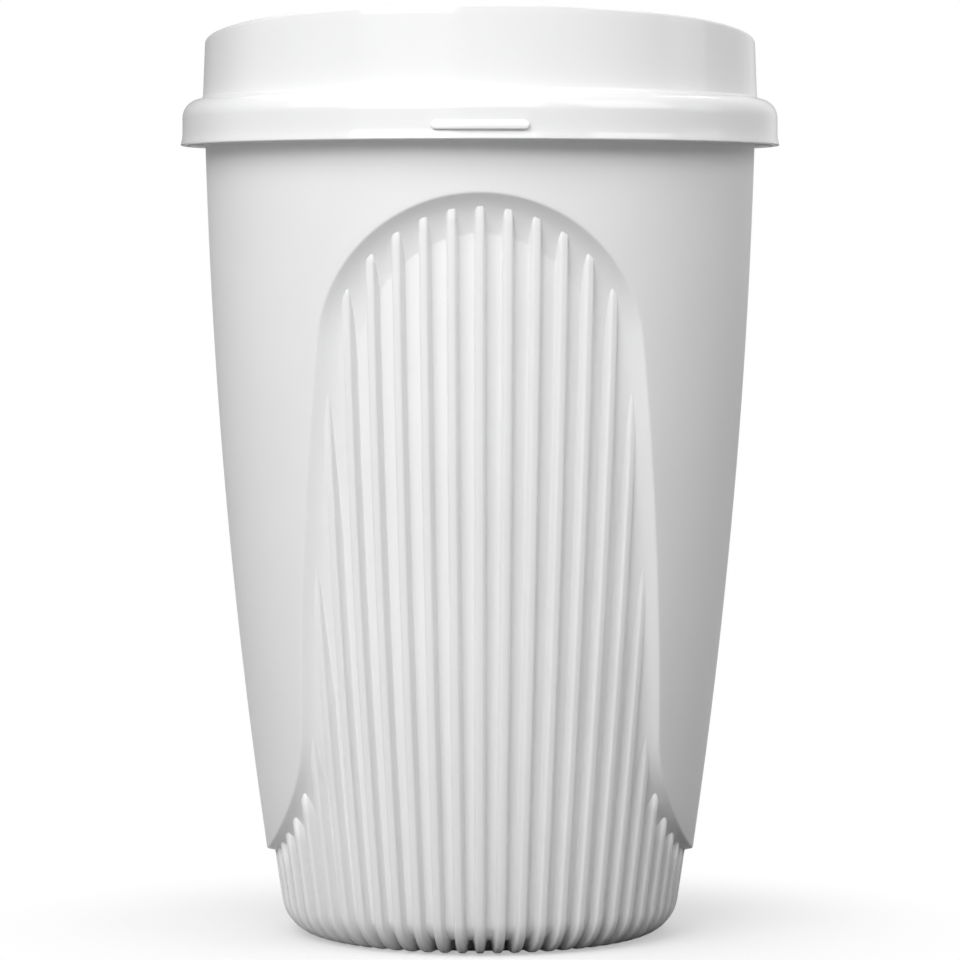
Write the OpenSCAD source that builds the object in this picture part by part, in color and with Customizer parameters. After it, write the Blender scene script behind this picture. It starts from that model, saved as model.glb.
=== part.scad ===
// Reusable takeaway coffee cup: a ribbed one-piece cup and a press-on lid.
// Millimetres, +Z up, origin on the table under the cup's axis.
// The front, where the lid is tallest and carries its thumb ridge, faces -Y.

/* [Cup wall] */
// Height of the cup's rim above the table
rim_h = 135.4; // [125:0.2:150]
// How far the lid's skirt reaches down past the rim
skirt_drop = 5.9; // [5:0.1:8]
// Outer radius of the smooth wall just under the lid
neck_r = 45; // [40:0.5:52]
// Outer radius of the smooth wall at its lower edge
foot_r = 35.1; // [32:0.1:40]
// Height of the lower edge of the smooth wall at the cup's sides
foot_h = 13.9; // [10:0.1:20]
// How far the wall's outline bows out from a straight taper
wall_bow = 1.7; // [0:0.1:3]

/* [Ribs] */
// Number of ribs round the cup
rib_count = 60; // [36:2:66]
// Height of a rib above the valley floor
rib_height = 3.1; // [2:0.1:4]
// Width of a rib near its crest
rib_w = 1.45; // [1:0.05:1.8]
// Width of a rib at its root
rib_root_w = 1.9; // [1.2:0.05:2.2]
// How far the crests lie inside the smooth wall at the foot
crest_in_foot = 1.25; // [0.6:0.05:2]
// How far the crests lie inside the smooth wall at the neck
crest_in_neck = 1.75; // [0.6:0.05:2]
// Radius of the bend that carries the ribs under the cup
rib_bend_r = 6.6; // [5:0.1:9]

/* [Windows] */
// Drop from the rim to the crown of each arched window
crown_drop = 14.1; // [11:0.1:30]
// Half the width of the arch, seen from the front
arch_half_w = 25.7; // [20:0.1:30]
// Height of the arch from its springing to its crown
arch_rise = 25; // [18:0.5:32]
// Radius of the rounded tongue that the smooth wall ends in at each side
tongue_r = 25.2; // [18:0.1:27]
// Width of the ramp at the crown, from the smooth wall to the valley floor
ramp_w = 6.3; // [3:0.1:8]
// Width of the ramp at the tip of each tongue
ramp_tip_w = 0.5; // [0.3:0.1:3]
// How long the ramp keeps its width down the leg, 1 for an even narrowing
ramp_hold = 2.6; // [1:0.1:4]

/* [Body] */
// Thickness of the wall between the valleys and the drink
wall_t = 1.8; // [1.4:0.1:2.4]
// Thickness of the floor
floor_t = 2.2; // [1.8:0.1:4]
// Height of the floor's underside above the table
base_gap = 2.3; // [1.5:0.1:3.5]
// Outer radius of the ring that the cup stands on
stand_r = 23.6; // [18:0.2:24.5]
// Width of the ring that the cup stands on
stand_w = 4.2; // [2:0.1:8]
// Radius of the corner inside the cup, between floor and wall
inside_corner_r = 4; // [2:0.5:6]

/* [Rim] */
// Wall thickness at the mouth
mouth_t = 1.8; // [1.4:0.1:2.2]
// Depth of the widened mouth below the rim
mouth_depth = 12; // [9:0.5:16]
// Height of the funnel between the widened mouth and the inner wall
funnel_h = 5.4; // [5:0.2:10]
// How far the rim's bead stands out of the wall
bead_out = 2.2; // [1.4:0.1:3]
// Height of the rim's bead
bead_h = 3.8; // [2.5:0.1:5]

/* [Lid] */
// Thickness of the lid's skirt
skirt_t = 1.3; // [1:0.1:2]
// Radial clearance between the rim's bead and the skirt
skirt_gap = 0.25; // [0.2:0.05:0.6]
// How far the skirt's lip flares out at its lower edge
skirt_flare = 0.3; // [0:0.05:0.8]
// Height of the flared lip along the skirt's lower edge
lip_h = 1.4; // [1:0.1:3]
// Thickness of the flange that sits on the rim
flange_t = 1.7; // [1.2:0.1:2.5]
// Radius of the rounded shoulder between skirt and flange
shoulder_r = 3.1; // [1.5:0.1:3.3]
// How far the raised wall stands in from the skirt's face
crown_in = 3.35; // [2.5:0.05:4.5]
// Height of the raised wall above the flange at the front
crown_front_h = 13.6; // [10:0.1:18]
// Height of the raised wall above the flange at the back
crown_back_h = 5; // [4:0.1:9]
// Draft of the raised wall, in degrees
crown_draft = 2.3; // [0:0.1:4]
// Thickness of the raised wall
crown_t = 1.5; // [1.2:0.1:2]
// Thickness of the deck inside the raised wall
deck_t = 1.4; // [1:0.1:1.7]
// Depth of the plug below the flange
plug_drop = 7; // [5:0.5:8.5]
// Thickness of the plug's wall
plug_t = 1.4; // [1:0.1:2]
// Radial clearance between the plug and the cup's mouth
plug_gap = 0.3; // [0.15:0.05:0.5]

/* [Lid openings and ridge] */
// Length of the sip slot
sip_l = 17; // [12:0.5:22]
// Width of the sip slot
sip_w = 6; // [4.5:0.1:8]
// Distance from the raised wall to the middle of the sip slot
sip_in = 6.5; // [5.5:0.1:12]
// Diameter of the vent hole
vent_d = 1.8; // [1:0.1:3]
// Length of the thumb ridge on the front of the skirt
ridge_l = 15.4; // [10:0.2:24]
// Height of the thumb ridge
ridge_h = 1.5; // [1:0.1:2]
// How far the thumb ridge stands out of the skirt
ridge_out = 0.7; // [0.4:0.05:1.2]
// Height of the ridge's lower edge above the skirt's lower edge
ridge_up = 1.5; // [0.8:0.1:2.5]

/* [Hidden] */
$fn = 96;

neck_h = rim_h - skirt_drop;
mouth_r = neck_r - mouth_t;
bead_r = neck_r + bead_out;
skirt_in_r = bead_r + skirt_gap;
skirt_r = skirt_in_r + skirt_t;
plug_r = mouth_r - plug_gap;
flange_h = rim_h + flange_t;
crown_r = skirt_r - crown_in;
// The deck's top face lies this far above the flange
deck_rise = 0.3;
deck_h = flange_h + deck_rise;
edge_round = 0.4;
// How deep a rib's root is sunk in the wall that carries it
root_sink = 0.5;
// How far a rib runs on into the smooth wall above the window's edge
tip_sink = 1;
// The rib ends stop this far above the standing ring's face
rib_foot_h = 0.1;
rib_pitch = 360 / rib_count;
wall_steps = 12;
// Reach of the cutting body past the surfaces that it cuts
over = 1.5;
far_r = 2 * neck_r;

// Heights are turned into a share of the wall, 0 at its foot and 1 at its neck
function share(z) = (z - foot_h) / (neck_h - foot_h);
function bow(z) = 4 * wall_bow * share(z) * (1 - share(z));
function wall_r(z) = foot_r + (neck_r - foot_r) * share(z) + bow(z);
function crest_in(z) = crest_in_foot + (crest_in_neck - crest_in_foot) * max(0, share(z));
function crest_r(z) = wall_r(z) - crest_in(z);
function valley_r(z) = crest_r(z) - rib_height;
function inner_r(z) = valley_r(z) - wall_t;

function arc(c, r, a0, a1, n) =
    [for (i = [0:n]) let (a = a0 + (a1 - a0) * i / n) c + r * [cos(a), sin(a)]];

// A bend of radius r between a level line at height h and a leaning wall.
// ends is the wall's radius at the bend's centre height, and 1 mm above it.
function lean(ends) = atan(ends[1] - ends[0]);
function bend(ends, h, r, n) =
    arc([ends[0] - r / cos(lean(ends)), h + r], r, -90, -lean(ends), n);
function at_bend(z) = [z, z + 1];
function crest_ends(z) = [for (h = at_bend(z)) crest_r(h)];
function valley_ends(z) = [for (h = at_bend(z)) valley_r(h)];
function inner_ends(z) = [for (h = at_bend(z)) inner_r(h)];

// Window edge on the smooth wall. The arch is an ellipse seen from the front,
// the leg a shallow curve seen from the front, and the foot a quarter circle
// seen from the side. Each point is kept as [angle from the front, height].
crown_h = rim_h - crown_drop;
spring_h = crown_h - arch_rise;
arch_end = 84.5;
foot_lean = 10;
arch_steps = 12;
leg_steps = 6;
foot_steps = 10;
function front_spot(x, z) = [asin(x / wall_r(z)), z];
function side_spot(y, z) = [acos(y / wall_r(z)), z];
function arch_spot(a) = [arch_half_w * sin(a), spring_h + arch_rise * cos(a)];
function foot_spot(a) = [tongue_r * cos(a), foot_h + tongue_r * (1 - sin(a))];
leg_top = arch_spot(arch_end);
foot_start = side_spot(foot_spot(foot_lean)[0], foot_spot(foot_lean)[1]);
leg_foot = [wall_r(foot_start[1]) * sin(foot_start[0]), foot_start[1]];
function leg_spot(k) = [
    leg_foot[0] - (leg_foot[0] - leg_top[0]) * k * k,
    leg_foot[1] + (leg_top[1] - leg_foot[1]) * k
];
edge = concat(
    [
        for (i = [0:arch_steps])
            let (p = arch_spot(arch_end * i / arch_steps))
            front_spot(p[0], p[1])
    ],
    [
        for (i = [1:leg_steps])
            let (p = leg_spot(1 - i / leg_steps))
            front_spot(p[0], p[1])
    ],
    [
        for (i = [1:foot_steps])
            let (p = foot_spot(foot_lean + (90 - foot_lean) * i / foot_steps))
            side_spot(p[0], p[1])
    ]
);
edge_n = len(edge) - 1;

// The ramp leaves the edge square to it on the unrolled wall. It is widest at
// the crown and narrows down the leg, ever faster towards the tip of the tongue.
function unrolled(i) = [edge[i][0] * PI / 180 * wall_r(edge[i][1]), edge[i][1]];
function level(i) = i == 0 || i == edge_n;
function edge_run(i) = level(i) ? [1, 0] : unrolled(i + 1) - unrolled(i - 1);
function into_window(i) = let (d = edge_run(i)) [d[1], -d[0]] / norm(d);
function ramp_at(i) = ramp_w + (ramp_tip_w - ramp_w) * pow(i / edge_n, ramp_hold);
function spot(angle, z, r) = [r * sin(angle), -r * cos(angle), z];
function edge_top(i) = spot(edge[i][0], edge[i][1], wall_r(edge[i][1]));
function edge_floor(i) =
    let (move = ramp_at(i) * into_window(i))
    let (z = edge[i][1] + move[1], r = valley_r(z))
    spot(edge[i][0] + move[0] / r * 180 / PI, z, r);

// The ramp's edges, carried a little past the wall and the valley floor
function past(a, b) = a + (a - b) * over / norm(a - b);
function swing_out(p) = let (r = norm([p[0], p[1]])) [p[0] * far_r / r, p[1] * far_r / r, p[2]];
quarter = [
    for (i = [0:edge_n])
        let (top = edge_top(i), low = edge_floor(i))
        let (outer = past(top, low))
        [past(low, top), outer, swing_out(outer)]
];
// The four quarters of the edge, in order round the cup
function flip_x(s) = [for (p = s) [-p[0], p[1], p[2]]];
function flip_y(s) = [for (p = s) [p[0], -p[1], p[2]]];
ring_of_edges = concat(
    [for (i = [0:1:edge_n]) quarter[i]],
    [for (i = [edge_n - 1:-1:0]) flip_y(quarter[i])],
    [for (i = [1:1:edge_n]) flip_x(flip_y(quarter[i]))],
    [for (i = [edge_n - 1:-1:1]) flip_x(quarter[i])]
);

// Everything under the window edges and ramps, down past the table
module below_the_edges() {
    n = len(ring_of_edges);
    depth = -2 * over;
    low = [for (s = ring_of_edges) [s[2][0], s[2][1], depth]];
    loops = concat(
        [for (s = ring_of_edges) s[0]],
        [for (s = ring_of_edges) s[1]],
        [for (s = ring_of_edges) s[2]],
        low
    );
    peak = len(loops);
    bottom = peak + 1;
    points = concat(loops, [[0, 0, spring_h], [0, 0, depth]]);
    faces = concat(
        [for (i = [0:n - 1]) let (j = (i + 1) % n) [i, peak, j]],
        [
            for (k = [0:2])
                for (i = [0:n - 1])
                    let (j = (i + 1) % n)
                    for (half = [0, 1])
                        half == 0
                            ? [k * n + i, k * n + j, k * n + n + i]
                            : [k * n + j, k * n + n + j, k * n + n + i]
        ],
        [for (i = [0:n - 1]) let (j = (i + 1) % n) [3 * n + i, 3 * n + j, bottom]]
    );
    polyhedron(points = points, faces = faces);
}

// Heights along the wall from a to b
function heights(a, b) = [for (i = [0:wall_steps]) a + (b - a) * i / wall_steps];

core_bend_r = 0.6 * rib_bend_r;
core_bend = bend(valley_ends(base_gap + core_bend_r), base_gap, core_bend_r, 6);
core_bend_top = core_bend[len(core_bend) - 1][1];

// The cup's core: valley floor, underside and standing ring, without its hollow
module core() {
    stand_in_r = stand_r - stand_w;
    rotate_extrude()
        polygon(concat(
            [
                [0, base_gap],
                [stand_in_r - base_gap / 2, base_gap],
                [stand_in_r, 0],
                [stand_r, 0],
                [stand_r, base_gap]
            ],
            core_bend,
            [for (z = heights(core_bend_top + over, crown_h)) [valley_r(z), z]],
            [[0, crown_h]]
        ));
}

// The smooth wall carried down to the table, with rim, mouth and hollow
module blank() {
    floor_h = base_gap + floor_t;
    funnel_top = rim_h - mouth_depth;
    funnel_low = funnel_top - funnel_h;
    bead_low = rim_h - bead_h;
    corner = bend(inner_ends(floor_h + inside_corner_r), floor_h, inside_corner_r, 6);
    corner_top = corner[len(corner) - 1][1];
    bead_mid_r = bead_h / 2;
    bead_root = 1;
    rim_top_in = 1.6;
    rim_out_round = 1;
    rim_in_round = 0.7;
    rotate_extrude()
        polygon(concat(
            [[0, -over], [wall_r(0), -over]],
            [for (z = heights(0, bead_low - bead_root)) [wall_r(z), z]],
            arc([bead_r - bead_mid_r, bead_low + bead_mid_r], bead_mid_r, -70, 50, 8),
            arc([bead_r - rim_top_in, rim_h - rim_out_round], rim_out_round, 60, 90, 2),
            arc([mouth_r + rim_in_round, rim_h - rim_in_round], rim_in_round, 90, 180, 4),
            [[mouth_r, funnel_top]],
            [for (z = heights(funnel_low, corner_top + over)) [inner_r(z), z]],
            [for (i = [len(corner) - 1:-1:0]) corner[i]],
            [[0, floor_h]]
        ));
}

// Height of the window's edge at an angle from the front, 0 to 90 degrees
function edge_h(angle) = lookup(angle, edge);
// Angle from the nearest window's middle, for an angle round the cup
function fold(a) = let (b = abs(a % 180)) min(b, 180 - b);

rib_bend = bend(crest_ends(rib_foot_h + rib_bend_r), rib_foot_h, rib_bend_r, 4);
rib_bend_top = rib_bend[len(rib_bend) - 1][1];
rib_step_h = 22;

// Crest line of a rib that runs up to height top: from the ring to the tip
function rib_line(top) =
    let (n = max(1, round((top - rib_bend_top) / rib_step_h)))
    concat(
        [[stand_r - stand_w / 2, rib_foot_h]],
        rib_bend,
        [for (i = [1:n]) let (z = rib_bend_top + (top - rib_bend_top) * i / n) [crest_r(z), z]]
    );

// Half a rib's cross-section as [half width, depth under the crest]
crest_flat = 0.22 * rib_w;
crest_drop = 0.3 * rib_w;
rib_deep = rib_height + root_sink;
rib_deep_w = rib_w + (rib_root_w - rib_w) * rib_deep / rib_height;
rib_half = [[crest_flat, 0], [rib_w / 2, crest_drop], [rib_deep_w / 2, rib_deep]];
rib_section = concat(
    [for (i = [2:-1:0]) [-rib_half[i][0], rib_half[i][1]]],
    rib_half
);

// Unit normal into the cup of the stretch from a to b, and the mitre of two
function inward(a, b) = let (d = (b - a) / norm(b - a)) [-d[1], d[0]];
function mitre(u, v) = (u + v) / (1 + u * v);
function line_in(line, i) =
    let (last = len(line) - 1)
    i == 0 ? inward(line[0], line[1])
    : i == last ? inward(line[last - 1], line[last])
    : mitre(inward(line[i - 1], line[i]), inward(line[i], line[i + 1]));

// One rib, standing out along +X
module rib(top) {
    line = rib_line(top);
    m = len(rib_section);
    last = len(line) - 1;
    points = [
        for (i = [0:last])
            for (s = rib_section)
                let (p = line[i] + line_in(line, i) * s[1])
                [p[0], s[0], p[1]]
    ];
    sides = [
        for (i = [0:last - 1])
            for (k = [0:m - 1])
                let (a = i * m + k, b = i * m + (k + 1) % m)
                [a, a + m, b + m, b]
    ];
    caps = [
        [for (k = [0:m - 1]) k],
        [for (k = [m - 1:-1:0]) last * m + k]
    ];
    polyhedron(points = points, faces = concat(sides, caps));
}

module ribs() {
    for (i = [0:rib_count - 1]) {
        turn = i * rib_pitch;
        rotate([0, 0, turn - 90])
            rib(edge_h(fold(turn)) + tip_sink);
    }
}

// One-piece cup: smooth wall with a window front and back, ribs in the valleys
module cup() {
    color([0.9, 0.9, 0.91])
    union() {
        difference() {
            blank();
            difference() {
                below_the_edges();
                core();
            }
        }
        ribs();
    }
}

crown_tilt = atan((crown_front_h - crown_back_h) / 2 / crown_r);
crown_mid_h = flange_h + (crown_front_h + crown_back_h) / 2;
crown_slope = tan(crown_draft);
function crown_out_r(z) = crown_r - crown_slope * (z - flange_h);
deck_r = crown_out_r(deck_h) - crown_t;

// The lid before its slanted top, slot, vent and ridge
module lid_blank() {
    raw_h = flange_h + crown_front_h + over;
    blend_r = 0.6;
    deck_round = 1;
    shoulder = [skirt_r - shoulder_r, flange_h - shoulder_r];
    blend_x = crown_r + blend_r;
    blend_a = acos(max(-1, min(1, (blend_x - shoulder[0]) / shoulder_r)));
    rotate_extrude()
        polygon(concat(
            arc([skirt_r + skirt_flare - edge_round, neck_h + edge_round], edge_round, -90, 0, 3),
            [[skirt_r, neck_h + lip_h]],
            arc(shoulder, shoulder_r, 0, blend_a, 8),
            arc([blend_x, flange_h + blend_r], blend_r, -100, -180, 4),
            [
                [crown_out_r(raw_h), raw_h],
                [crown_out_r(raw_h) - crown_t, raw_h]
            ],
            arc([deck_r - deck_round, deck_h + deck_round], deck_round, 0, -90, 4),
            [
                [0, deck_h],
                [0, deck_h - deck_t],
                [plug_r - plug_t, deck_h - deck_t],
                [plug_r - plug_t, rim_h - plug_drop],
                [plug_r - edge_round, rim_h - plug_drop],
                [plug_r, rim_h - plug_drop + 2 * edge_round],
                [plug_r, rim_h],
                [skirt_in_r, rim_h],
                [skirt_in_r, neck_h + lip_h],
                [skirt_in_r + skirt_flare, neck_h + edge_round]
            ],
            arc([skirt_in_r + skirt_flare + edge_round, neck_h + edge_round], edge_round, 180, 270, 3)
        ));
}

// Takes off the raised wall's top on a slant and eases both its edges
module slant_cut() {
    ease = 0.45;
    out_r = crown_out_r(crown_mid_h) - ease;
    in_r = crown_out_r(crown_mid_h) - crown_t + ease;
    reach = 1;
    translate([0, 0, crown_mid_h])
        rotate([-crown_tilt, 0, 0])
            rotate_extrude()
                polygon([
                    [0, -reach],
                    [in_r - reach, -reach],
                    [in_r, 0],
                    [out_r, 0],
                    [out_r + reach, -reach],
                    [far_r, -reach],
                    [far_r, crown_front_h + 2 * over],
                    [0, crown_front_h + 2 * over]
                ]);
}

// A flat bar outline with round ends, l long and w wide
module round_bar(l, w) {
    square([l - w, w], center = true);
    for (side = [-1, 1])
        translate([side * (l - w) / 2, 0])
            circle(d = w);
}

module sip_slot() {
    translate([0, -(deck_r - sip_in), deck_h - deck_t - over])
        linear_extrude(deck_t + 2 * over)
            round_bar(sip_l, sip_w);
}

module vent() {
    translate([0, deck_r - sip_in, deck_h - deck_t - over])
        cylinder(d = vent_d, h = deck_t + 2 * over);
}

// The thumb ridge: a band round the skirt, kept only where the bar shows
module ridge() {
    low = neck_h + ridge_up;
    high = low + ridge_h;
    face_r = skirt_r + ridge_out;
    face_top = low + 0.45 * ridge_h;
    back_r = face_r - 0.9 * ridge_out;
    root_r = skirt_r - skirt_t / 2;
    intersection() {
        rotate_extrude()
            polygon([
                [root_r, low - over],
                [face_r, low - over],
                [face_r, face_top],
                [back_r, high],
                [root_r, high + over]
            ]);
        translate([0, 0, low + ridge_h / 2])
            rotate([90, 0, 0])
                linear_extrude(far_r)
                    round_bar(ridge_l, ridge_h);
    }
}

// One-piece press-on lid
module lid() {
    color([0.96, 0.96, 0.97])
    union() {
        difference() {
            lid_blank();
            slant_cut();
            sip_slot();
            vent();
        }
        ridge();
    }
}

cup();
lid();
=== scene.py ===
import math

import bmesh
import bpy
import numpy as np
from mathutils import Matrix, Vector


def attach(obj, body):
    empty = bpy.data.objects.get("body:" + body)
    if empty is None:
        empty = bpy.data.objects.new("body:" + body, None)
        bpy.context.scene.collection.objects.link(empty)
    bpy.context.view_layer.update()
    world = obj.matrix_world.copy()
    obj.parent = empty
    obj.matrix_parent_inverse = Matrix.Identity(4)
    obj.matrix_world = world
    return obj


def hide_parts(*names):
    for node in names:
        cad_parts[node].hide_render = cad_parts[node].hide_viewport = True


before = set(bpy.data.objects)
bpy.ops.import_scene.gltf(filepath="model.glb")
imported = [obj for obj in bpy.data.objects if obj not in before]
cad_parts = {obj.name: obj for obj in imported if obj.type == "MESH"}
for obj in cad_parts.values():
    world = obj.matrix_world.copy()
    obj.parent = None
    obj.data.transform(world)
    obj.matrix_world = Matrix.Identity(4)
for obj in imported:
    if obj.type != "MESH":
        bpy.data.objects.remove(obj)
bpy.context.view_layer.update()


# The camera.
# It looks at the front of the cup with a long lens, from a little over the cup's middle
# and slightly down. Places are in metres here and in the floor's and light's sections.
CAMERA_AWAY = 0.79
CAMERA_HEIGHT = 0.1113
CAMERA_DIP = math.radians(2.657)
CAMERA_LENS = 180.07
CAMERA_SENSOR = 36.0

camera_data = bpy.data.cameras.new("camera")
camera_data.lens = CAMERA_LENS
camera_data.sensor_width = CAMERA_SENSOR
camera_data.clip_start = 0.01
camera_data.clip_end = 50
camera = bpy.data.objects.new("camera", camera_data)
camera.location = (0, -CAMERA_AWAY, CAMERA_HEIGHT)
camera.rotation_euler = (math.pi / 2 - CAMERA_DIP, 0, 0)
bpy.context.scene.collection.objects.link(camera)
bpy.context.scene.camera = camera
bpy.context.scene.view_settings.view_transform = "Standard"


# The cup's body.
# One moulding in white polypropylene. A smooth wall comes down in two tongues at the
# sides, and between them a window front and back is sunk to the valley floor by a ramp.
# Sizes of the cup and the lid are in millimetres, and become metres in a mesh.
MM = 0.001
RIM_H = 135.4
NECK_H = 129.5
NECK_R = 45.0
FOOT_R = 35.1
FOOT_H = 13.9
WALL_BOW = 1.7
CREST_IN_FOOT = 1.25
CREST_IN_NECK = 1.75
RIB_HEIGHT = 1.7
WALL_T = 3.2
FLOOR_T = 2.2
BASE_GAP = 2.3
STAND_R = 23.6
STAND_W = 4.2
RIB_BEND_R = 6.6
CORE_BEND_R = 0.6 * RIB_BEND_R
INSIDE_CORNER_R = 4.0
MOUTH_T = 1.8
MOUTH_R = NECK_R - MOUTH_T
MOUTH_DEPTH = 12.0
MOUTH_ROUND = 0.7
FUNNEL_H = 5.4
BEAD_OUT = 2.2
BEAD_H = 3.8
BEAD_ROOT = 1.0
RIM_ROUND = 1.0
RIM_ROUND_IN = 1.6

WINDOW_DROP = 14.1
WINDOW_TOP_H = RIM_H - WINDOW_DROP
ARCH_HALF_W = 25.7
ARCH_RISE = 25.0
TONGUE_R = 25.2
RAMP_W = 6.3
RAMP_TIP_W = 0.5
RAMP_HOLD = 2.6
RAMP_SCOOP = 0.35
RAMP_EASE = 4
EDGE_ROUND = 0.28
FLOOR_ROUND = 0.22


def share_up(z):
    return (z - FOOT_H) / (NECK_H - FOOT_H)


def wall_r(z):
    up = share_up(z)
    return FOOT_R + (NECK_R - FOOT_R) * up + 4 * WALL_BOW * up * (1 - up)


def crest_r(z):
    return wall_r(z) - CREST_IN_FOOT - (CREST_IN_NECK - CREST_IN_FOOT) * max(0.0, share_up(z))


def valley_r(z):
    return crest_r(z) - RIB_HEIGHT


def inner_r(z):
    return valley_r(z) - WALL_T


def arc(centre, radius, start, end, steps):
    """Points on an arc in a side view, from start to end in degrees."""
    turn = [math.radians(start + (end - start) * i / steps) for i in range(steps + 1)]
    return [(centre[0] + radius * math.cos(a), centre[1] + radius * math.sin(a)) for a in turn]


def bend(radius_at, level, radius, steps):
    """Arc between a level line and the leaning wall whose radius is radius_at(z)."""
    middle = level + radius
    lean = math.atan(radius_at(middle + 1) - radius_at(middle))
    centre = (radius_at(middle) - radius / math.cos(lean), middle)
    return arc(centre, radius, -90, -math.degrees(lean), steps)


def around(angle, z, r):
    """A point at an angle from the front, turning towards +X."""
    return np.array([r * math.sin(angle), -r * math.cos(angle), z])


# The window's edge on the smooth wall, for one quarter of the cup. The arch is an ellipse
# seen from the front, the leg a shallow curve, and the tongue's foot a quarter circle seen
# from the side. Each place is (angle, height, share of the way from the window's top to
# the tongue's tip).
SPRING_H = WINDOW_TOP_H - ARCH_RISE
ARCH_END = math.radians(84.5)
FOOT_LEAN = math.radians(10)
ARCH_SHARE = 12 / 28
LEG_SHARE = 6 / 28
FOOT_SHARE = 10 / 28
ARCH_STEPS = 26
LEG_STEPS = 26
FOOT_STEPS = 26


def seen_from_front(x, z, share):
    return math.asin(x / wall_r(z)), z, share


def seen_from_side(y, z, share):
    return math.acos(y / wall_r(z)), z, share


def quarter_edge():
    places = []
    for i in range(ARCH_STEPS + 1):
        a = ARCH_END * i / ARCH_STEPS
        z = SPRING_H + ARCH_RISE * math.cos(a)
        places.append(seen_from_front(ARCH_HALF_W * math.sin(a), z, ARCH_SHARE * i / ARCH_STEPS))
    leg_top = (ARCH_HALF_W * math.sin(ARCH_END), SPRING_H + ARCH_RISE * math.cos(ARCH_END))
    foot_top_h = FOOT_H + TONGUE_R * (1 - math.sin(FOOT_LEAN))
    foot_top = seen_from_side(TONGUE_R * math.cos(FOOT_LEAN), foot_top_h, 0)
    leg_foot_x = wall_r(foot_top_h) * math.sin(foot_top[0])
    for i in range(1, LEG_STEPS + 1):
        k = 1 - i / LEG_STEPS
        x = leg_foot_x - (leg_foot_x - leg_top[0]) * k * k
        z = foot_top_h + (leg_top[1] - foot_top_h) * k
        places.append(seen_from_front(x, z, ARCH_SHARE + LEG_SHARE * i / LEG_STEPS))
    for i in range(1, FOOT_STEPS + 1):
        a = FOOT_LEAN + (math.pi / 2 - FOOT_LEAN) * i / FOOT_STEPS
        y, z = TONGUE_R * math.cos(a), FOOT_H + TONGUE_R * (1 - math.sin(a))
        share = ARCH_SHARE + LEG_SHARE + FOOT_SHARE * i / FOOT_STEPS
        places.append(seen_from_side(y, z, share))
    return places


def unrolled(place):
    return np.array([place[0] * wall_r(place[1]), place[1]])


def curve_between(a, b, c, steps):
    """Rounds the corner at b on the way from a to c."""
    out = []
    for i in range(steps + 1):
        k = i / steps
        out.append((1 - k) ** 2 * a + 2 * k * (1 - k) * b + k * k * c)
    return out


EDGE_PLACES = quarter_edge()
WALL_ROWS = 22
RAMP_ROWS = (0.14, 0.24, 0.36, 0.5, 0.7)
FLOOR_ROWS = 18
bead_root_h = RIM_H - BEAD_H - BEAD_ROOT
core_bend = bend(valley_r, BASE_GAP, CORE_BEND_R, 8)
core_bend_top_h = core_bend[-1][1]


def body_column(number):
    """One column of the outside, from under the rim's bead to the bend under the cup.

    It runs down the smooth wall, over the window's edge, down the ramp and along the
    valley floor. Gives its points, and its angles on the wall and on the valley floor."""
    place = EDGE_PLACES[number]
    last = len(EDGE_PLACES) - 1
    if number in (0, last):
        along = np.array([1.0, 0.0])
    else:
        along = unrolled(EDGE_PLACES[number + 1]) - unrolled(EDGE_PLACES[number - 1])
        along = along / np.linalg.norm(along)
    into = np.array([along[1], -along[0]])
    ramp = RAMP_W + (RAMP_TIP_W - RAMP_W) * place[2] ** RAMP_HOLD
    edge = around(place[0], place[1], wall_r(place[1]))
    low_h = place[1] + ramp * into[1]
    low_angle = place[0] + ramp * into[0] / valley_r(low_h)
    if number in (0, last):
        low_angle = place[0]
    low = around(low_angle, low_h, valley_r(low_h))
    back = unrolled(place) - EDGE_ROUND * into
    back_angle = back[0] / wall_r(back[1])
    if number in (0, last):
        back_angle = place[0]
    wall_end = around(back_angle, back[1], wall_r(back[1]))

    points = []
    for i in range(WALL_ROWS):
        k = i / WALL_ROWS
        z = bead_root_h + (back[1] - bead_root_h) * k
        points.append(around(place[0] + (back_angle - place[0]) * k, z, wall_r(z)))

    # The ramp is steepest at the window's edge and eases towards the valley floor
    depth = wall_r(place[1]) - valley_r(low_h)
    length = np.linalg.norm(low - edge)
    outward = around(low_angle, 0, 1)

    def on_ramp(k):
        scoop = depth * RAMP_SCOOP * (1 - (1 - k) ** RAMP_EASE - k)
        return edge + (low - edge) * k - outward * scoop

    points += curve_between(wall_end, edge, on_ramp(EDGE_ROUND / length), 4)
    points += [on_ramp(k) for k in RAMP_ROWS]
    valley_top_h = low_h - FLOOR_ROUND
    floor_end = around(low_angle, valley_top_h, valley_r(valley_top_h))
    points += curve_between(on_ramp(1 - FLOOR_ROUND / length), low, floor_end, 3)
    for i in range(1, FLOOR_ROWS + 1):
        z = valley_top_h + (core_bend_top_h - valley_top_h) * i / FLOOR_ROWS
        points.append(around(low_angle, z, valley_r(z)))
    return points, place[0], low_angle


def ring_of(items, flip_x, flip_y):
    """Repeats one quarter's columns round the cup, in order of angle."""
    last = len(items) - 1
    ring = [items[i] for i in range(last + 1)]
    ring += [flip_y(items[i]) for i in range(last - 1, -1, -1)]
    ring += [flip_x(flip_y(items[i])) for i in range(1, last + 1)]
    ring += [flip_x(items[i]) for i in range(last - 1, 0, -1)]
    return ring


quarter = [body_column(i) for i in range(len(EDGE_PLACES))]
outside = ring_of(
    [np.array(column[0]) for column in quarter],
    lambda c: c * np.array([-1, 1, 1]),
    lambda c: c * np.array([1, -1, 1]),
)
wall_angles = ring_of([column[1] for column in quarter], lambda a: -a, lambda a: math.pi - a)
floor_angles = ring_of([column[2] for column in quarter], lambda a: -a, lambda a: math.pi - a)


def loop_at(angles, r, z):
    return np.array([around(a, z, r) for a in angles])


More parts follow.
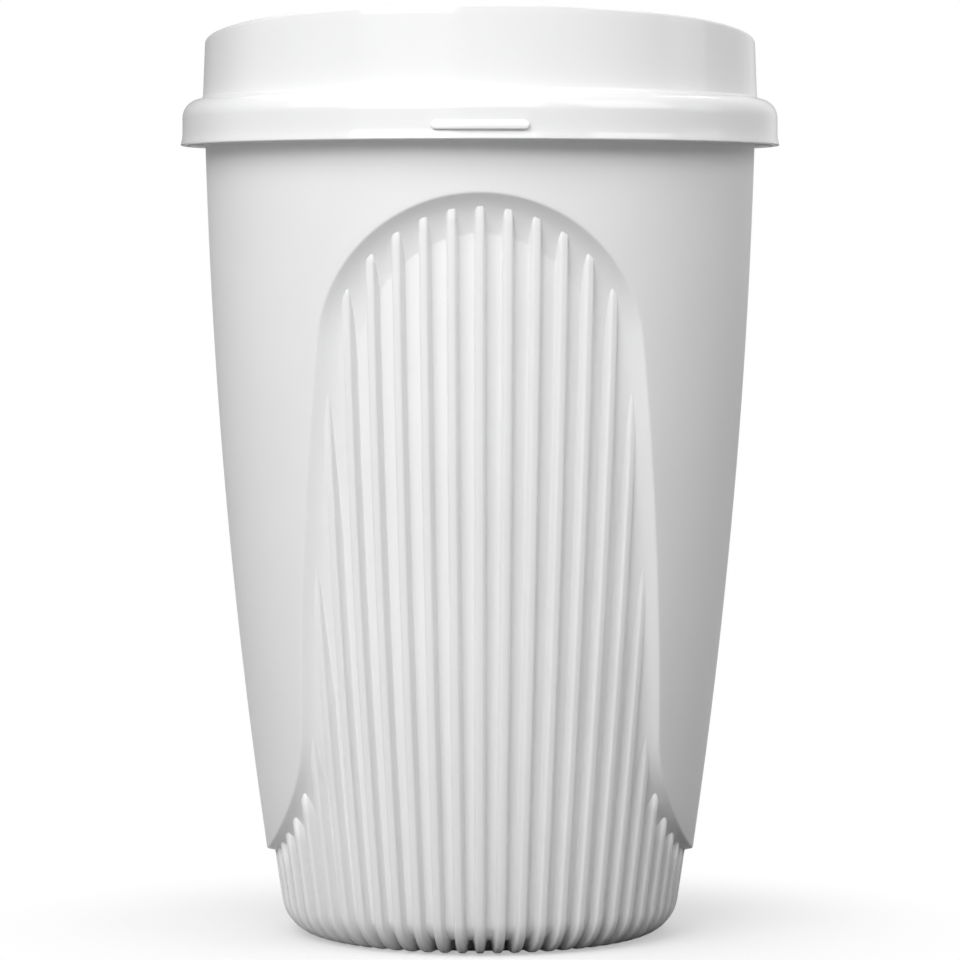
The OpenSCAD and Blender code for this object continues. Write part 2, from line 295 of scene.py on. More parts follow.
# Side view of the inside and the rim, from the middle of the floor up to the bead's root
FLOOR_RINGS = (6, 14, 20)
INSIDE_START = 3
INSIDE_ROWS = 14
FUNNEL_ROUND = ((0.5, -0.6), (0.1, 0.4))
MOUTH_ROWS = (1.5, 6, 10.4)
BEAD_FOOT = ((0.35, 0.1), (0.08, 0.5))
floor_h = BASE_GAP + FLOOR_T
funnel_top_h = RIM_H - MOUTH_DEPTH
funnel_low_h = funnel_top_h - FUNNEL_H
bead_r = NECK_R + BEAD_OUT
bead_mid = (bead_r - BEAD_H / 2, RIM_H - BEAD_H / 2)
corner = bend(inner_r, floor_h, INSIDE_CORNER_R, 8)
inside_line = [(r, floor_h) for r in FLOOR_RINGS] + corner
inside_heights = np.linspace(corner[-1][1] + INSIDE_START, funnel_low_h, INSIDE_ROWS)
inside_line += [(inner_r(z), z) for z in inside_heights]
inside_line += [(MOUTH_R - inset, funnel_top_h + up) for inset, up in FUNNEL_ROUND]
inside_line += [(MOUTH_R, funnel_top_h + up) for up in MOUTH_ROWS]
inside_line += arc((MOUTH_R + MOUTH_ROUND, RIM_H - MOUTH_ROUND), MOUTH_ROUND, 180, 90, 6)
inside_line += arc((bead_r - RIM_ROUND_IN, RIM_H - RIM_ROUND), RIM_ROUND, 90, 55, 4)
inside_line += arc(bead_mid, BEAD_H / 2, 50, -62, 14)
inside_line += [(NECK_R + out, RIM_H - BEAD_H - down) for out, down in BEAD_FOOT]

# Side view of the underside, from the core's bend over the standing ring to the middle
STAND_ROUND = 0.5
STAND_FILLET = 0.3
STAND_BEVEL_W = 0.4
STAND_BEVEL_H = 0.2
UNDER_RINGS = (12, 5)
stand_in_r = STAND_R - STAND_W
slope_top_r = stand_in_r - BASE_GAP / 2
under_line = list(reversed(core_bend))[1:]
under_line += [(STAND_R + STAND_FILLET, BASE_GAP), (STAND_R, BASE_GAP - STAND_FILLET)]
under_line += arc((STAND_R - STAND_ROUND, STAND_ROUND), STAND_ROUND, 0, -90, 5)
under_line += arc((stand_in_r + STAND_ROUND, STAND_ROUND), STAND_ROUND, -90, -160, 5)
under_line += [(slope_top_r, BASE_GAP - STAND_BEVEL_H), (slope_top_r - STAND_BEVEL_W, BASE_GAP)]
under_line += [(r, BASE_GAP) for r in UNDER_RINGS]

rows = [loop_at(wall_angles, r, z) for r, z in inside_line]
rows += [np.array([column[i] for column in outside]) for i in range(len(outside[0]))]
rows += [loop_at(floor_angles, r, z) for r, z in under_line]


def smooth_piece(name, points, faces):
    """A piece with smooth faces. Its points are in metres."""
    mesh = bpy.data.meshes.new(name)
    mesh.from_pydata(points, [], faces)
    mesh.polygons.foreach_set("use_smooth", [True] * len(mesh.polygons))
    piece = bpy.data.objects.new(name, mesh)
    bpy.context.scene.collection.objects.link(piece)
    return piece


def skin(name, rows, start, end):
    """A closed mesh from rows of points, with a point at each end. Rows are in millimetres."""
    count = len(rows[0])
    points = np.vstack(rows + [np.array([start, end])]) * MM
    first, final = len(rows) * count, len(rows) * count + 1
    faces = []
    for j in range(count):
        k = (j + 1) % count
        faces.append((first, k, j))
        for i in range(len(rows) - 1):
            low, high = i * count, (i + 1) * count
            faces.append((low + j, low + k, high + k, high + j))
        last = (len(rows) - 1) * count
        faces.append((last + j, last + k, final))
    return smooth_piece(name, [tuple(p) for p in points], faces)


cup = skin("cup_wall", rows, (0, 0, floor_h), (0, 0, BASE_GAP))


# The cup's ribs.
# Sixty upright ribs, moulded in one with the wall. Each is rounded over its crest and
# flares at its root, starts at the standing ring and runs up until the ramp covers it.
RIB_COUNT = 60
RIB_W = 1.45
RIB_ROOT_W = 1.9
RIB_FOOT_H = 0.1
ROOT_SINK = 0.45
TIP_SINK = 1.0
CREST_ROUND = 0.45
ROOT_FILLET = 0.12
FILLET_OUT = 0.92
RIB_STEP_H = 5.0
FUNNEL_SKIN = 0.3
CREST_TURNS = (0, 12, 30, 48, 66, 80)
FILLET_TURNS = (5, 30, 55, 80)
FLANK_LEAN = 0.06
SUNK_LEAN = 0.02

# One half of a rib cut across: (out from its middle, down from its crest)
half_rib = [
    (RIB_W / 2 - CREST_ROUND * (1 - math.sin(a)), CREST_ROUND * (1 - math.cos(a)))
    for a in np.radians(CREST_TURNS)
]
half_rib += [(RIB_W / 2 + FLANK_LEAN, RIB_HEIGHT / 2)]
fillet_mid = (RIB_ROOT_W / 2 + ROOT_FILLET * FILLET_OUT, RIB_HEIGHT - ROOT_FILLET)
half_rib += [
    (fillet_mid[0] - ROOT_FILLET * math.cos(a), fillet_mid[1] + ROOT_FILLET * math.sin(a))
    for a in np.radians(FILLET_TURNS)
]
half_rib += [(fillet_mid[0] + SUNK_LEAN, RIB_HEIGHT + ROOT_SINK)]
rib_section = [(-w, d) for w, d in reversed(half_rib)] + half_rib
rib_bend = bend(crest_r, RIB_FOOT_H, RIB_BEND_R, 12)
edge_angle = [math.degrees(place[0]) for place in EDGE_PLACES]
edge_height = [place[1] for place in EDGE_PLACES]


def rib_top(turn):
    """Height at which a rib ends, out of sight above the window's edge."""
    turn = abs(turn) % 180
    return float(np.interp(min(turn, 180 - turn), edge_angle, edge_height)) + TIP_SINK


def rib_line(top):
    """Crest of a rib seen from the side: along the underside, round the bend and up."""
    steps = max(2, round((top - rib_bend[-1][1]) / RIB_STEP_H))
    up = [rib_bend[-1][1] + (top - rib_bend[-1][1]) * i / steps for i in range(1, steps + 1)]
    middle = STAND_R - STAND_W / 2
    flat = [(middle, RIB_FOOT_H), ((middle + rib_bend[0][0]) / 2, RIB_FOOT_H)]
    return [np.array(p) for p in flat + rib_bend + [(crest_r(z), z) for z in up]]


def depth_in_wall(d, spot):
    """Depth of a point of the rib, less where the mouth's funnel leaves it a thinner wall."""
    deep = RIB_HEIGHT + ROOT_SINK
    if d <= CREST_ROUND or spot[1] <= funnel_low_h:
        return d
    up = (spot[1] - funnel_low_h) / FUNNEL_H
    funnel_r = inner_r(funnel_low_h) + (MOUTH_R - inner_r(funnel_low_h)) * up
    room = min(deep, spot[0] - funnel_r - FUNNEL_SKIN)
    return CREST_ROUND + (d - CREST_ROUND) * (room - CREST_ROUND) / (deep - CREST_ROUND)


def ribs_mesh(name, numbers):
    """The ribs with these numbers, counted round the cup from the middle of the front."""
    points, faces = [], []
    for number in numbers:
        turn = math.radians(number * 360 / RIB_COUNT)
        line = rib_line(rib_top(number * 360 / RIB_COUNT))
        out = np.array([math.sin(turn), -math.cos(turn)])
        side = np.array([math.cos(turn), math.sin(turn)])
        start = len(points)
        for i, spot in enumerate(line):
            before, after = line[max(0, i - 1)], line[min(len(line) - 1, i + 1)]
            run = (after - before) / np.linalg.norm(after - before)
            inward = np.array([-run[1], run[0]])
            for w, d in rib_section:
                r, z = spot + inward * depth_in_wall(d, spot)
                flat = out * r + side * w
                points.append((flat[0] * MM, flat[1] * MM, z * MM))
        m = len(rib_section)
        for i in range(len(line) - 1):
            for k in range(m):
                a = start + i * m + k
                b = start + i * m + (k + 1) % m
                faces.append((b, b + m, a + m, a))
        faces.append(tuple(start + k for k in reversed(range(m))))
        faces.append(tuple(start + (len(line) - 1) * m + k for k in range(m)))
    return smooth_piece(name, points, faces)


def keep_normals(piece):
    """Notes each corner's smooth normal, so that it is still there after pieces are joined."""
    mesh = piece.data
    note = mesh.attributes.new("made_normal", "FLOAT_VECTOR", "CORNER")
    normals = np.zeros(len(mesh.loops) * 3, np.float32)
    mesh.corner_normals.foreach_get("vector", normals)
    note.data.foreach_set("vector", normals)


def combine(piece, other, operation):
    """Moulds other into piece, or cuts it out, and takes other away."""
    step = piece.modifiers.new(other.name, "BOOLEAN")
    step.operation = operation
    step.solver = "MANIFOLD"
    step.object = other
    shapes = bpy.context.evaluated_depsgraph_get()
    mesh = bpy.data.meshes.new_from_object(piece.evaluated_get(shapes))
    piece.modifiers.clear()
    piece.data = mesh
    bpy.data.objects.remove(other)


def use_kept_normals(piece):
    """Gives a joined piece the normals that keep_normals noted."""
    mesh = piece.data
    note = mesh.attributes["made_normal"]
    normals = np.zeros(len(mesh.loops) * 3, np.float32)
    note.data.foreach_get("vector", normals)
    normals = normals.reshape(-1, 3)
    normals /= np.maximum(np.linalg.norm(normals, axis=1, keepdims=True), 1e-9)
    mesh.attributes.remove(note)
    mesh.polygons.foreach_set("use_smooth", [True] * len(mesh.polygons))
    mesh.normals_split_custom_set([tuple(n) for n in normals])


# Every second rib is joined on at a time, because neighbours meet at the standing ring
keep_normals(cup)
for first in (0, 1):
    ribs = ribs_mesh(f"ribs_{first}", range(first, RIB_COUNT, 2))
    keep_normals(ribs)
    combine(cup, ribs, "UNION")
use_kept_normals(cup)
cup.name = "cup_moulding"
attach(cup, "cup")
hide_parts("cup")


# The cup's plastic.
# White polypropylene with a satin tool finish: a fine even grain, a faint slow
# unevenness of colour, and a skin that is a little glossier in places.
SATIN_DARKER = (0.87, 0.871, 0.873, 1)
SATIN_LIGHTER = (0.895, 0.896, 0.897, 1)
SATIN_ROUGH = (0.4, 0.5)
SATIN_PATCHES = 38
SATIN_DETAIL = 3
TINT_AT = (0.3, 0.7)
GRAIN_FINENESS = 4200
GRAIN_DETAIL = 2
GRAIN_DEPTH = 0.00006
GRAIN_STRENGTH = 0.06


def white_plastic(name, colours, roughness, patches, patch_detail, relief, grain=None):
    """A plastic whose colour and gloss follow one slow noise.

    Its relief is (strength, depth), and comes from a fine grain of its own where that is
    given, or else from the slow noise."""
    material = bpy.data.materials.new(name)
    material.use_nodes = True
    nodes, links = material.node_tree.nodes, material.node_tree.links
    plastic = nodes["Principled BSDF"]
    place = nodes.new("ShaderNodeTexCoord")
    slow = nodes.new("ShaderNodeTexNoise")
    slow.inputs["Scale"].default_value = patches
    slow.inputs["Detail"].default_value = patch_detail
    links.new(place.outputs["Object"], slow.inputs["Vector"])
    tint = nodes.new("ShaderNodeValToRGB")
    for i, colour in enumerate(colours):
        tint.color_ramp.elements[i].position = TINT_AT[i]
        tint.color_ramp.elements[i].color = colour
    links.new(slow.outputs["Fac"], tint.inputs["Fac"])
    links.new(tint.outputs["Color"], plastic.inputs["Base Color"])
    rough = nodes.new("ShaderNodeMapRange")
    rough.inputs["To Min"].default_value = roughness[0]
    rough.inputs["To Max"].default_value = roughness[1]
    links.new(slow.outputs["Fac"], rough.inputs["Value"])
    links.new(rough.outputs["Result"], plastic.inputs["Roughness"])
    height = slow
    if grain:
        height = nodes.new("ShaderNodeTexNoise")
        height.inputs["Scale"].default_value = grain
        height.inputs["Detail"].default_value = GRAIN_DETAIL
        links.new(place.outputs["Object"], height.inputs["Vector"])
    bump = nodes.new("ShaderNodeBump")
    bump.inputs["Strength"].default_value = relief[0]
    bump.inputs["Distance"].default_value = relief[1]
    links.new(height.outputs["Fac"], bump.inputs["Height"])
    links.new(bump.outputs["Normal"], plastic.inputs["Normal"])
    return material


satin = white_plastic(
    "satin_white_plastic",
    (SATIN_DARKER, SATIN_LIGHTER),
    SATIN_ROUGH,
    SATIN_PATCHES,
    SATIN_DETAIL,
    (GRAIN_STRENGTH, GRAIN_DEPTH),
    GRAIN_FINENESS,
)
cup.data.materials.clear()
cup.data.materials.append(satin)


# The lid.
# One glossy white moulding that presses over the rim: a skirt with a rounded shoulder,
# a raised wall cut on a slant, a deck sunk inside it and a plug that sits in the mouth.
SKIRT_GAP = 0.25
SKIRT_T = 1.3
SKIRT_IN_R = bead_r + SKIRT_GAP
SKIRT_R = SKIRT_IN_R + SKIRT_T
SKIRT_FLARE = 0.3
LIP_H = 1.4
LIP_ROUND_IN = 0.4
LIP_ROUND_OUT = 0.2
FLANGE_T = 1.7
FLANGE_H = RIM_H + FLANGE_T
FLANGE_FILLET = 0.4
SHOULDER_R = 3.1
CROWN_INSET = 3.35
CROWN_R = SKIRT_R - CROWN_INSET
CROWN_FRONT_H = 13.57
CROWN_BACK_H = 5.0
CROWN_DRAFT = math.tan(math.radians(2.3))
CROWN_T = 1.5
CROWN_BLEND = 0.6
BLEND_SINK = 0.02
DECK_STEP = 0.3
DECK_H = FLANGE_H + DECK_STEP
DECK_T = 1.4
DECK_FILLET = 1.0
PLUG_GAP = 0.3
PLUG_R = MOUTH_R - PLUG_GAP
PLUG_T = 1.4
PLUG_DROP = 7.0
PLUG_FILLET = 0.5
PLUG_FILLET_FROM = 0.6
PLUG_FOOT = 1.2
PLUG_ROUND_IN = 0.35
PLUG_ROUND_OUT = 0.5
TOP_ROUND = 0.5
LID_COLUMNS = 300
UNDERSIDE_RINGS = (10, 24, 34)
DECK_RINGS = (34, 26, 14)
DECK_EDGE_RING = 4
CROWN_ROWS = (0.12, 0.3, 0.5, 0.7, 0.88)
CROWN_ROWS_IN = (0.75, 0.5, 0.25, 0.08)

# Rows of the skirt: inside (millimetres out, height over the neck), and outside (share of
# the flare, height over the neck)
SKIRT_ROWS_IN = ((0, 4.2), (0, 2.6), (0.04, LIP_H))
SKIRT_ROWS_OUT = ((0.5, 0.75), (0.15, LIP_H), (0, 2.1), (0, 3.4))

crown_slant = (CROWN_FRONT_H - CROWN_BACK_H) / 2 / CROWN_R
crown_mid_h = FLANGE_H + (CROWN_FRONT_H + CROWN_BACK_H) / 2


def crown_out_r(z):
    return CROWN_R - CROWN_DRAFT * (z - FLANGE_H)


def crown_top(angle, r):
    return crown_mid_h + crown_slant * r * math.cos(angle)


lid_angles = [2 * math.pi * i / LID_COLUMNS for i in range(LID_COLUMNS)]
deck_r = crown_out_r(DECK_H) - CROWN_T

# Side view from the middle of the deck's underside out to the raised wall's blend: the
# plug's inside and outside, the flange's underside, the skirt's inside and its outside
plug_in_r = PLUG_R - PLUG_T
plug_low_h = RIM_H - PLUG_DROP
under_h = DECK_H - DECK_T
lid_line = [(r, under_h) for r in UNDERSIDE_RINGS + (plug_in_r - PLUG_FILLET_FROM,)]
lid_line += arc((plug_in_r - PLUG_FILLET, under_h - PLUG_FILLET), PLUG_FILLET, 75, 0, 4)
lid_line += [(plug_in_r, RIM_H - PLUG_DROP / 2)]
lid_line += arc((plug_in_r + PLUG_ROUND_IN, plug_low_h + PLUG_ROUND_IN), PLUG_ROUND_IN, 180, 270, 4)
lid_line += arc((PLUG_R - PLUG_ROUND_OUT, plug_low_h + PLUG_ROUND_OUT), PLUG_ROUND_OUT, -90, -10, 5)
lid_line += [(PLUG_R, plug_low_h + PLUG_FOOT), (PLUG_R, RIM_H - PLUG_DROP / 2)]
lid_line += [(PLUG_R, RIM_H - PLUG_GAP), (PLUG_R + PLUG_GAP, RIM_H)]
lid_line += [(SKIRT_IN_R - FLANGE_FILLET, RIM_H)]
lid_line += arc((SKIRT_IN_R - FLANGE_FILLET, RIM_H - FLANGE_FILLET), FLANGE_FILLET, 75, 0, 4)
lid_line += [(SKIRT_IN_R + out, NECK_H + up) for out, up in SKIRT_ROWS_IN]
lip_in_r = SKIRT_IN_R + SKIRT_FLARE
lip_out_r = SKIRT_R + SKIRT_FLARE
lid_line += arc((lip_in_r + LIP_ROUND_IN, NECK_H + LIP_ROUND_IN), LIP_ROUND_IN, 180, 270, 4)
lid_line += arc((lip_out_r - LIP_ROUND_OUT, NECK_H + LIP_ROUND_OUT), LIP_ROUND_OUT, -90, 10, 5)
lid_line += [(SKIRT_R + SKIRT_FLARE * flare, NECK_H + up) for flare, up in SKIRT_ROWS_OUT]
shoulder = (SKIRT_R - SHOULDER_R, FLANGE_H - SHOULDER_R)
lid_line += arc(shoulder, SHOULDER_R, 0, 84, 14)
blend_mid = (CROWN_R + CROWN_BLEND, FLANGE_H + CROWN_BLEND - BLEND_SINK)
lid_line += arc(blend_mid, CROWN_BLEND, -100, -178, 7)

# Rows that follow the slanted top: share of the way up the wall, then round both edges
lid_rows = [loop_at(lid_angles, r, z) for r, z in lid_line]
blend_top_h = lid_line[-1][1]


def slant_row(low_h, share, inset, drop, radius_at):
    """A row round the raised wall, share of the way from low_h up to its slanted top."""
    row = []
    for a in lid_angles:
        top = crown_top(a, radius_at(crown_mid_h) - inset) - drop
        z = low_h + (top - low_h) * share
        row.append(around(a, z, radius_at(z) - inset))
    return np.array(row)


def crown_in_r(z):
    return crown_out_r(z) - CROWN_T


for k in CROWN_ROWS:
    lid_rows.append(slant_row(blend_top_h, k, 0, TOP_ROUND, crown_out_r))
for a in np.linspace(0, math.pi / 2, 6):
    inset, drop = TOP_ROUND * (1 - math.cos(a)), TOP_ROUND * (1 - math.sin(a))
    lid_rows.append(slant_row(blend_top_h, 1, inset, drop, crown_out_r))
for a in np.linspace(math.pi / 2, 0, 6):
    inset, drop = -TOP_ROUND * (1 - math.cos(a)), TOP_ROUND * (1 - math.sin(a))
    lid_rows.append(slant_row(blend_top_h, 1, inset, drop, crown_in_r))
deck_fillet_top = DECK_H + DECK_FILLET
for k in CROWN_ROWS_IN:
    lid_rows.append(slant_row(deck_fillet_top, k, 0, TOP_ROUND, crown_in_r))
deck_line = arc((deck_r - DECK_FILLET, deck_fillet_top), DECK_FILLET, 0, -90, 8)
deck_line += [(r, DECK_H) for r in (deck_r - DECK_EDGE_RING,) + DECK_RINGS]
lid_rows += [loop_at(lid_angles, r, z) for r, z in deck_line]
lid = skin("lid_moulding", lid_rows, (0, 0, DECK_H - DECK_T), (0, 0, DECK_H))


# The lid's sip slot and vent.
# Both go through the deck, with rounded lips where the drink and the lip touch them.
SIP_L = 17.0
SIP_W = 6.0
SIP_IN = 6.5
SIP_LIP = 0.45
VENT_D = 1.8
VENT_LIP = 0.25
VENT_SPLIT = 0.001
CUT_PAST = 1


def round_bar(length, width, steps):
    """Outline of a bar with round ends, lying along X."""
    half = (length - width) / 2
    points = []
    for side, start in ((1, -90), (-1, 90)):
        points += arc((side * half, 0), width / 2, start, start + 180, steps)
    return points


def through_cut(name, length, width, y, lip, steps):
    """Cutter for a hole through the deck that leaves a rounded lip on both faces."""
    low, high = DECK_H - DECK_T, DECK_H
    levels = [(lip, high + CUT_PAST)]
    for a in np.linspace(0, math.pi / 2, 6):
        levels.append((lip * (1 - math.sin(a)), high - lip * (1 - math.cos(a))))
    levels += [(grow, low + high - z) for grow, z in reversed(levels)]
    cut_rows = []
    for grow, z in reversed(levels):
        outline = round_bar(length + 2 * grow, width + 2 * grow, steps)
        cut_rows.append(np.array([(px, py + y, z) for px, py in outline]))
    return skin(name, cut_rows, (0, y, low - CUT_PAST), (0, y, high + CUT_PAST))


# The vent is round, but for a hair's breadth that keeps its outline's two ends apart
slot = through_cut("slot", SIP_L, SIP_W, -(deck_r - SIP_IN), SIP_LIP, 20)
vent = through_cut("vent", VENT_D + VENT_SPLIT, VENT_D, deck_r - SIP_IN, VENT_LIP, 12)


# The lid's thumb ridge.
# A low bar with round ends on the front of the skirt, sloped on top and square below, so
# that a thumb can lift the lid. It is moulded with the skirt.
RIDGE_L = 15.4
RIDGE_H = 1.5
RIDGE_OUT = 0.7
RIDGE_UP = 1.5
RIDGE_ROUND = 0.16
RIDGE_SLOPE = 0.63
SLOPE_FROM = 0.45
RIDGE_ROOT = 1.6
RIDGE_ROWS = 13
RIDGE_CUTS = 14
END_TURNS = (12, 25, 38, 52, 66, 78)


ridge_mid_h = NECK_H + RIDGE_UP + RIDGE_H / 2
ridge_face_r = SKIRT_R + RIDGE_OUT
ridge_straight = (RIDGE_L - RIDGE_H) / 2


def on_ridge(x, z, back):
    """A point x round the skirt from the bar's middle, z above it and back from its face."""
    return around(x / ridge_face_r, ridge_mid_h + z, ridge_face_r - back)


def ridge_slice(x):
    """The bar's outline where it is cut across at x."""
    past = max(0.0, abs(x) - ridge_straight)
    half = math.sqrt((RIDGE_H / 2) ** 2 - past ** 2)
    row = [on_ridge(x, half, RIDGE_ROOT), on_ridge(x, -half, RIDGE_ROOT)]
    for a in np.linspace(-math.pi / 2, math.pi / 2, RIDGE_ROWS):
        z = half * math.sin(a)
        from_edge = max(0.0, RIDGE_H / 2 - math.hypot(past, z))
        in_round = max(0.0, RIDGE_ROUND - from_edge)
        back = RIDGE_ROUND - math.sqrt(RIDGE_ROUND ** 2 - in_round ** 2)
        back += RIDGE_SLOPE * max(0.0, (z / RIDGE_H + 0.5 - SLOPE_FROM) / (1 - SLOPE_FROM))
        row.append(on_ridge(x, z, back))
    return np.array(row)


end_cuts = [ridge_straight + RIDGE_H / 2 * math.cos(a) for a in np.radians(END_TURNS)]
cuts = [-x for x in end_cuts]
cuts += list(np.linspace(-ridge_straight, ridge_straight, RIDGE_CUTS))
cuts += end_cuts[::-1]
left_end, right_end = (on_ridge(x, 0, RIDGE_ROOT / 2) for x in (cuts[0], cuts[-1]))
ridge = skin("ridge", [ridge_slice(x) for x in cuts], left_end, right_end)

# All four are turned face out before the holes are cut and the bar is joined on
for piece in (lid, slot, vent, ridge):
    check = bmesh.new()
    check.from_mesh(piece.data)
    if check.calc_volume(signed=True) < 0:
        piece.data.flip_normals()
    check.free()
    keep_normals(piece)
combine(lid, slot, "DIFFERENCE")
combine(lid, vent, "DIFFERENCE")
combine(lid, ridge, "UNION")
use_kept_normals(lid)
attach(lid, "lid")
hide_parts("lid")


# The lid's plastic.
# The same white polypropylene from a polished tool: a clear gloss with the slight slow
# ripple that a moulded face has, and a trace of haze.
GLOSS_DARKER = (0.87, 0.872, 0.875, 1)
GLOSS_LIGHTER = (0.885, 0.886, 0.888, 1)
GLOSS_ROUGH = (0.07, 0.11)
GLOSS_PATCHES = 30
GLOSS_DETAIL = 2
RIPPLE_DEPTH = 0.0003
RIPPLE_STRENGTH = 0.05

gloss = white_plastic(
    "gloss_white_plastic",
    (GLOSS_DARKER, GLOSS_LIGHTER),
    GLOSS_ROUGH,
    GLOSS_PATCHES,
    GLOSS_DETAIL,
    (RIPPLE_STRENGTH, RIPPLE_DEPTH),
)
lid.data.materials.clear()
lid.data.materials.append(gloss)


# The floor.
# A pale sheet that holds the cup's soft shadow and turns to plain white further out.
# The colour it bounces back up onto the cup is much darker than the colour it shows,
# which is painted shade on the cup's lower, downward-facing parts. It is darkest close
# to the cup on the right, a painted shadow in that bounce colour where its shadow falls.
FLOOR_SIZE = 6.0
SHADOW_REACH = 0.03
WHITE_FROM = 0.09
FLOOR_PALE = 0.95
FLOOR_SHINE = 0.4
# Colour the floor bounces onto the cup, darker than it shows: painted shade on the cup's lower
# parts
FLOOR_PAINTED_SHADE_BOUNCE = 0.33
# Painted shadow in the floor's bounce colour, darkest at a spot close to the cup on the right
PAINTED_SHADOW_BOUNCE = 0.06
PAINTED_SHADOW_SPOT = (0.065, 0, 0)
PAINTED_SHADOW_FROM = 0.03
PAINTED_SHADOW_TO = 0.14

floor_mesh = bpy.data.meshes.new("floor")
reach = FLOOR_SIZE / 2
corners = [(-reach, -reach, 0), (reach, -reach, 0), (reach, reach, 0), (-reach, reach, 0)]
floor_mesh.from_pydata(corners, [], [(0, 1, 2, 3)])
floor = bpy.data.objects.new("floor", floor_mesh)
bpy.context.scene.collection.objects.link(floor)

paper = bpy.data.materials.new("floor_white")
paper.use_nodes = True
nodes, links = paper.node_tree.nodes, paper.node_tree.links
nodes.clear()
place = nodes.new("ShaderNodeTexCoord")
away = nodes.new("ShaderNodeVectorMath")
away.operation = "LENGTH"
links.new(place.outputs["Object"], away.inputs[0])
fade = nodes.new("ShaderNodeMapRange")
fade.interpolation_type = "SMOOTHSTEP"
fade.inputs["From Min"].default_value = SHADOW_REACH
fade.inputs["From Max"].default_value = WHITE_FROM
fade.inputs["To Min"].default_value = FLOOR_SHINE
links.new(away.outputs["Value"], fade.inputs["Value"])
path = nodes.new("ShaderNodeLightPath")
share = nodes.new("ShaderNodeMath")
share.operation = "MULTIPLY"
links.new(fade.outputs["Result"], share.inputs[0])
links.new(path.outputs["Is Camera Ray"], share.inputs[1])
tone = nodes.new("ShaderNodeMix")
tone.data_type = "RGBA"
tone.inputs["A"].default_value = (FLOOR_PALE, FLOOR_PALE, FLOOR_PALE, 1)
# The bounce colour darkens towards a spot right of the cup: a painted shadow
to_painted_shadow = nodes.new("ShaderNodeVectorMath")
to_painted_shadow.operation = "DISTANCE"
to_painted_shadow.inputs[1].default_value = PAINTED_SHADOW_SPOT
links.new(place.outputs["Object"], to_painted_shadow.inputs[0])
painted_shade_bounce = nodes.new("ShaderNodeMapRange")
painted_shade_bounce.interpolation_type = "SMOOTHSTEP"
painted_shade_bounce.inputs["From Min"].default_value = PAINTED_SHADOW_FROM
painted_shade_bounce.inputs["From Max"].default_value = PAINTED_SHADOW_TO
painted_shade_bounce.inputs["To Min"].default_value = PAINTED_SHADOW_BOUNCE
painted_shade_bounce.inputs["To Max"].default_value = FLOOR_PAINTED_SHADE_BOUNCE
links.new(to_painted_shadow.outputs["Value"], painted_shade_bounce.inputs["Value"])
links.new(painted_shade_bounce.outputs["Result"], tone.inputs["B"])
links.new(path.outputs["Is Diffuse Ray"], tone.inputs["Factor"])
pale = nodes.new("ShaderNodeBsdfDiffuse")
links.new(tone.outputs["Result"], pale.inputs["Color"])
white = nodes.new("ShaderNodeEmission")
white.inputs["Color"].default_value = (1, 1, 1, 1)
mix = nodes.new("ShaderNodeMixShader")
links.new(share.outputs["Value"], mix.inputs["Fac"])
links.new(pale.outputs["BSDF"], mix.inputs[1])
links.new(white.outputs["Emission"], mix.inputs[2])
surface = nodes.new("ShaderNodeOutputMaterial")
links.new(mix.outputs["Shader"], surface.inputs["Surface"])
floor.data.materials.append(paper)


# The light.
# Soft panels stand round the cup, strongest in front on the left, and the room beyond
# them gives no light. Where it is seen it is plain white, and the glossy plastic mirrors
# it as white too, but for a dimmer corner at the back on the left.
ROOM_LIGHT = 0.0
ROOM_MIRRORED = 1.22
CORNER_MIRRORED = 0.41
CORNER_WAY = (-0.42, 0.91, 0)
CORNER_FROM = 0.6
CORNER_TO = 0.95

world = bpy.data.worlds.new("room")
bpy.context.scene.world = world
world.use_nodes = True
nodes, links = world.node_tree.nodes, world.node_tree.links
background = nodes["Background"]
background.inputs["Color"].default_value = (1, 1, 1, 1)
look = nodes.new("ShaderNodeTexCoord")
corner = nodes.new("ShaderNodeVectorMath")
corner.operation = "DOT_PRODUCT"
corner.inputs[1].default_value = CORNER_WAY
links.new(look.outputs["Generated"], corner.inputs[0])
dim = nodes.new("ShaderNodeMapRange")
dim.interpolation_type = "SMOOTHSTEP"
dim.inputs["From Min"].default_value = CORNER_FROM
dim.inputs["From Max"].default_value = CORNER_TO
dim.inputs["To Min"].default_value = ROOM_MIRRORED
dim.inputs["To Max"].default_value = CORNER_MIRRORED
links.new(corner.outputs["Value"], dim.inputs["Value"])
path = nodes.new("ShaderNodeLightPath")
mirrored = nodes.new("ShaderNodeMath")
mirrored.operation = "MAXIMUM"
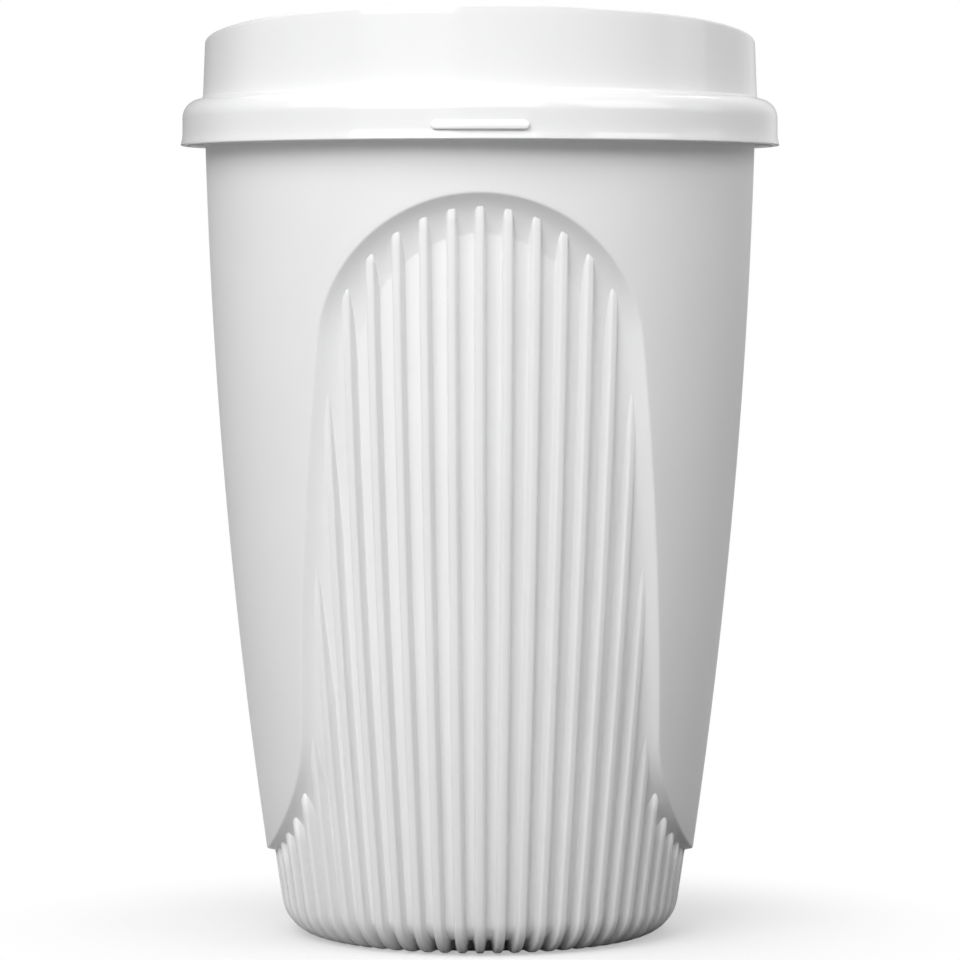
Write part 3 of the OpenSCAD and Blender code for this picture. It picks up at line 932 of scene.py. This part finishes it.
links.new(path.outputs["Is Glossy Ray"], mirrored.inputs[0])
links.new(path.outputs["Is Transmission Ray"], mirrored.inputs[1])
pale_room = nodes.new("ShaderNodeMapRange")
pale_room.inputs["To Min"].default_value = ROOM_LIGHT
links.new(mirrored.outputs["Value"], pale_room.inputs["Value"])
links.new(dim.outputs["Result"], pale_room.inputs["To Max"])
strength = nodes.new("ShaderNodeMath")
strength.operation = "MAXIMUM"
links.new(pale_room.outputs["Result"], strength.inputs[0])
links.new(path.outputs["Is Camera Ray"], strength.inputs[1])
links.new(strength.outputs["Value"], background.inputs["Strength"])

# Each panel: degrees round from the front, degrees up, metres away, width, height, and
# how bright its face is with white as 1. All face the cup's upper half.
PANELS = (
    ("panel_left_low", -29.5, 4, 1.25, 0.86, 0.40, 0.48),
    ("panel_left", -30, 24, 1.25, 0.86, 0.45, 4.2),
    ("panel_left_high", -30, 46, 1.25, 0.86, 0.50, 3.0),
    ("panel_front", 2, 30, 1.25, 0.90, 0.45, 2.4),
    ("panel_front_high", 0, 55, 1.25, 0.90, 0.50, 1.2),
    ("panel_far_left", -68, 40, 1.30, 0.60, 0.70, 2.0),
    ("panel_far_right", 62, 35, 1.30, 0.80, 0.80, 2.45),
    ("panel_side_right", 95, 20, 1.30, 0.50, 0.60, 0.7),
    ("panel_back", 180, 50, 1.30, 1.20, 0.50, 2.4),
)
PANEL_AIM = Vector((0, 0, 0.09))

for name, round_to, up, away_m, width, height, brightness in PANELS:
    lamp = bpy.data.lights.new(name, "AREA")
    lamp.shape = "RECTANGLE"
    lamp.size, lamp.size_y = width, height
    lamp.energy = brightness * math.pi * width * height
    turn, lift = math.radians(round_to), math.radians(up)
    level = math.cos(lift)
    step = Vector((level * math.sin(turn), -level * math.cos(turn), math.sin(lift)))
    panel = bpy.data.objects.new(name, lamp)
    panel.location = PANEL_AIM + away_m * step
    panel.rotation_euler = (-step).to_track_quat("-Z", "Y").to_euler()
    panel.visible_camera = False
    bpy.context.scene.collection.objects.link(panel)
